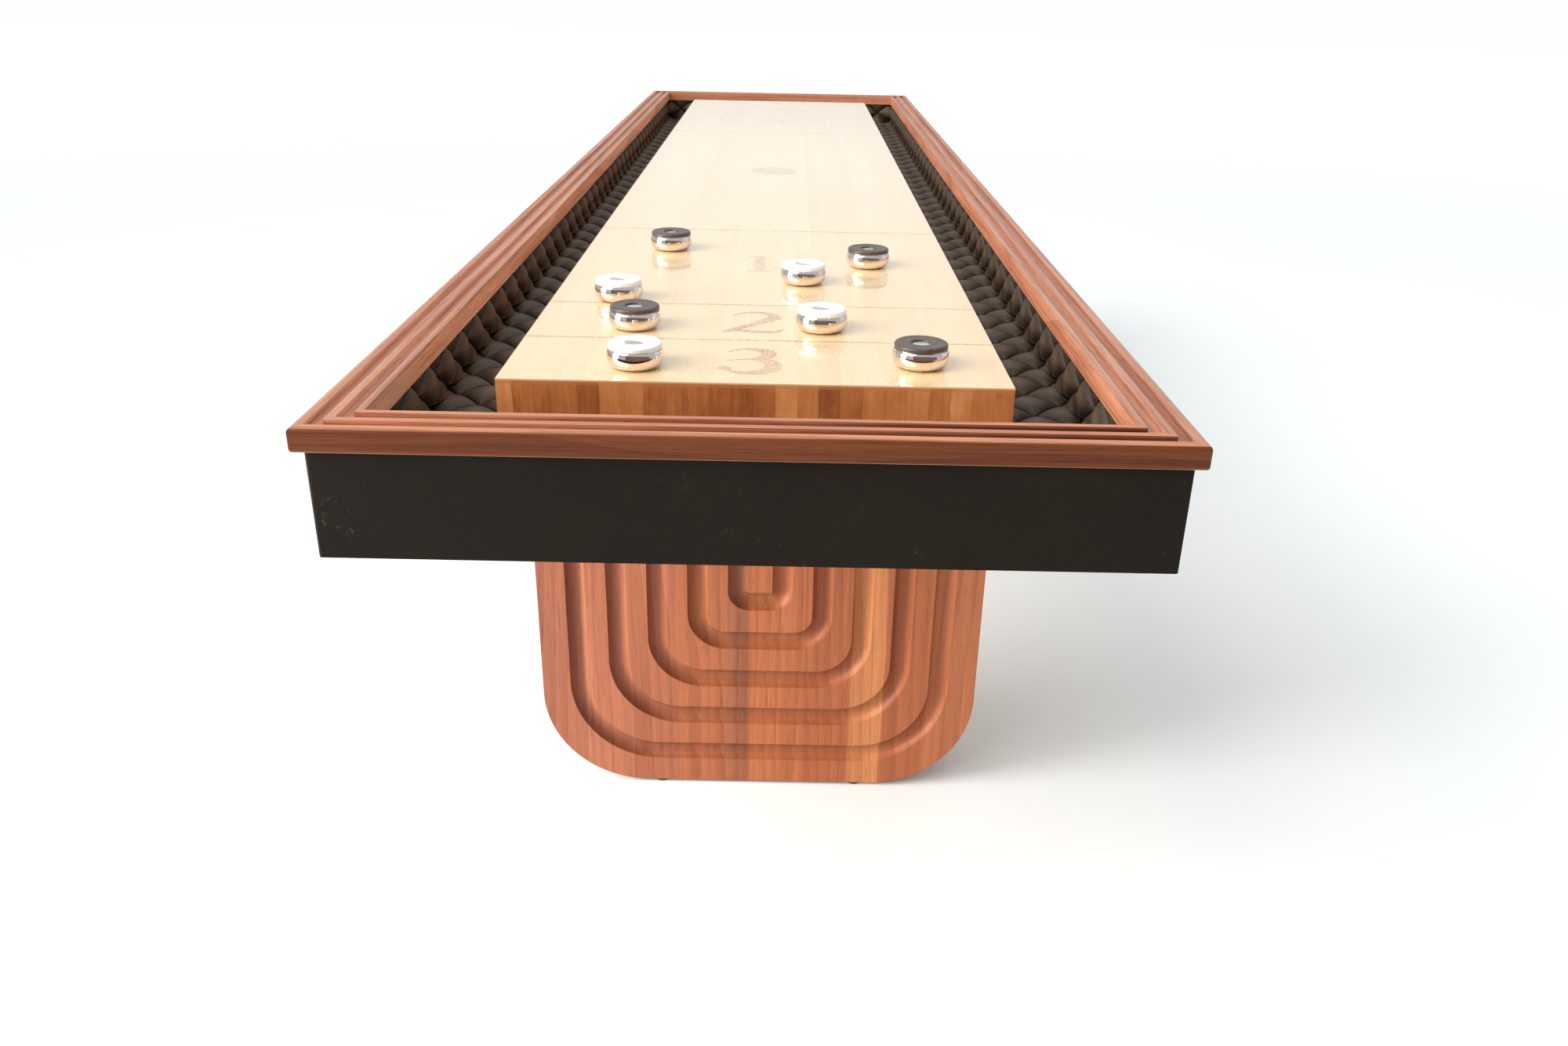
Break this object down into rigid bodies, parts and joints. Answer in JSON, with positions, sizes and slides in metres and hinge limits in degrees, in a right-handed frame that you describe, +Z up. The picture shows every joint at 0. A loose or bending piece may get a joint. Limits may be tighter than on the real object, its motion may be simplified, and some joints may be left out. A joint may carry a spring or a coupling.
{
  "type": "shuffleboard table",
  "caption": "Shuffleboard table: glossy maple board in a leather-padded gutter, grooved walnut rail, leather apron, carved walnut pedestals on screw levellers, and loose chrome weights.",
  "frame": {"origin": "on the floor below the middle of the table", "axes": "+X to the right, +Y along the board away from the near scoring end, +Z up"},
  "size_m": [0.785, 3.089, 0.8075],
  "materials": {
    "playing_board": "satin edge-glued strips under clear coat",
    "board_coat": "high-gloss poured coat over pale maple",
    "print": "faded screen-printed ink under coat",
    "walnut_rail": "satin oiled walnut",
    "walnut_panel": "satin oiled walnut, vertical boards",
    "walnut_core": "satin oiled walnut lumber core",
    "plywood": "raw birch plywood",
    "apron_hide": "smooth near-black leather",
    "quilted_hide": "diamond-quilted charcoal leather",
    "steel": "zinc-plated steel",
    "brass": "plain brass",
    "glide": "nylon",
    "chrome": "polished chrome",
    "cap_black": "satin black plastic",
    "cap_white": "gloss white plastic"
  },
  "bodies": {
    "table": {"playfield_block": "playing_board", "playfield_topcoat": "board_coat", "scoring_marks": "print", "rail_left": "walnut_rail", "rail_right": "walnut_rail", "rail_near": "walnut_rail", "rail_far": "walnut_rail", "cradle_wall_left": "plywood", "cradle_wall_right": "plywood", "cradle_wall_near": "plywood", "cradle_wall_far": "plywood", "cradle_base": "plywood", "gutter_floor_boards": "plywood", "playfield_supports": "plywood", "apron_leather": "apron_hide", "wall_pad_left": "quilted_hide", "wall_pad_right": "quilted_hide", "wall_pad_near": "quilted_hide", "wall_pad_far": "quilted_hide", "floor_pad_left": "quilted_hide", "floor_pad_right": "quilted_hide", "floor_pad_near": "quilted_hide", "floor_pad_far": "quilted_hide", "adjuster_brackets": "steel", "adjuster_rods": "steel", "adjuster_nuts": "steel", "pedestal_near_outer_panel": "walnut_panel", "pedestal_near_core": "walnut_core", "pedestal_near_inner_panel": "walnut_panel", "pedestal_far_outer_panel": "walnut_panel", "pedestal_far_core": "walnut_core", "pedestal_far_inner_panel": "walnut_panel", "pedestal_bolts": "steel", "pedestal_inserts": "brass", "leveller_inserts": "brass"},
    "leveller_pad_1": {"leveller_pad_1": "glide"},
    "leveller_stud_1": {"leveller_stud_1": "steel"},
    "leveller_pad_2": {"leveller_pad_2": "glide"},
    "leveller_stud_2": {"leveller_stud_2": "steel"},
    "leveller_pad_3": {"leveller_pad_3": "glide"},
    "leveller_stud_3": {"leveller_stud_3": "steel"},
    "leveller_pad_4": {"leveller_pad_4": "glide"},
    "leveller_stud_4": {"leveller_stud_4": "steel"},
    "weight_black_1": {"weight_black_1": "chrome", "cap_black_1": "cap_black"},
    "weight_black_2": {"weight_black_2": "chrome", "cap_black_2": "cap_black"},
    "weight_black_3": {"weight_black_3": "chrome", "cap_black_3": "cap_black"},
    "weight_black_4": {"weight_black_4": "chrome", "cap_black_4": "cap_black"},
    "weight_white_1": {"weight_white_1": "chrome", "cap_white_1": "cap_white"},
    "weight_white_2": {"weight_white_2": "chrome", "cap_white_2": "cap_white"},
    "weight_white_3": {"weight_white_3": "chrome", "cap_white_3": "cap_white"},
    "weight_white_4": {"weight_white_4": "chrome", "cap_white_4": "cap_white"}
  },
  "joints": [
    {"name": "leveller_1_height", "type": "slide", "parent": "table", "child": "leveller_pad_1", "axis": [0, 0, -1], "range_m": [0, 0.012]},
    {"name": "leveller_1_turn", "type": "hinge", "parent": "leveller_pad_1", "child": "leveller_stud_1", "pos_m": [-0.148, -0.9326, 0.02], "axis": [0, 0, 1], "range_deg": [0, 2880]},
    {"name": "leveller_2_height", "type": "slide", "parent": "table", "child": "leveller_pad_2", "axis": [0, 0, -1], "range_m": [0, 0.012]},
    {"name": "leveller_2_turn", "type": "hinge", "parent": "leveller_pad_2", "child": "leveller_stud_2", "pos_m": [0.148, -0.9326, 0.02], "axis": [0, 0, 1], "range_deg": [0, 2880]},
    {"name": "leveller_3_height", "type": "slide", "parent": "table", "child": "leveller_pad_3", "axis": [0, 0, -1], "range_m": [0, 0.012]},
    {"name": "leveller_3_turn", "type": "hinge", "parent": "leveller_pad_3", "child": "leveller_stud_3", "pos_m": [-0.148, 0.9326, 0.02], "axis": [0, 0, 1], "range_deg": [0, 2880]},
    {"name": "leveller_4_height", "type": "slide", "parent": "table", "child": "leveller_pad_4", "axis": [0, 0, -1], "range_m": [0, 0.012]},
    {"name": "leveller_4_turn", "type": "hinge", "parent": "leveller_pad_4", "child": "leveller_stud_4", "pos_m": [0.148, 0.9326, 0.02], "axis": [0, 0, 1], "range_deg": [0, 2880]},
    {"name": "weight_black_1_slide", "type": "slide", "parent": "table", "child": "weight_black_1", "axis": [0, 1, 0], "range_m": [-0.0667, 2.0943]},
    {"name": "weight_black_2_slide", "type": "slide", "parent": "table", "child": "weight_black_2", "axis": [0, 1, 0], "range_m": [-0.1024, 2.1826]},
    {"name": "weight_black_3_slide", "type": "slide", "parent": "table", "child": "weight_black_3", "axis": [0, 1, 0], "range_m": [-0.0292, 0.0488]},
    {"name": "weight_black_4_slide", "type": "slide", "parent": "table", "child": "weight_black_4", "axis": [0, 1, 0], "range_m": [-0.0387, 0.3023]},
    {"name": "weight_white_1_slide", "type": "slide", "parent": "table", "child": "weight_white_1", "axis": [0, 1, 0], "range_m": [-0.0238, 0.1792]},
    {"name": "weight_white_2_slide", "type": "slide", "parent": "table", "child": "weight_white_2", "axis": [0, 1, 0], "range_m": [-0.0846, 2.2864]},
    {"name": "weight_white_3_slide", "type": "slide", "parent": "table", "child": "weight_white_3", "axis": [0, 1, 0], "range_m": [-0.1706, 0.0804]},
    {"name": "weight_white_4_slide", "type": "slide", "parent": "table", "child": "weight_white_4", "axis": [0, 1, 0], "range_m": [-0.0203, 0.0587]}
  ],
  "couplings": [
    {"joint": "leveller_1_turn", "follows": "leveller_1_height", "rad_per_m": 4188.8},
    {"joint": "leveller_2_turn", "follows": "leveller_2_height", "rad_per_m": 4188.8},
    {"joint": "leveller_3_turn", "follows": "leveller_3_height", "rad_per_m": 4188.8},
    {"joint": "leveller_4_turn", "follows": "leveller_4_height", "rad_per_m": 4188.8}
  ]
}
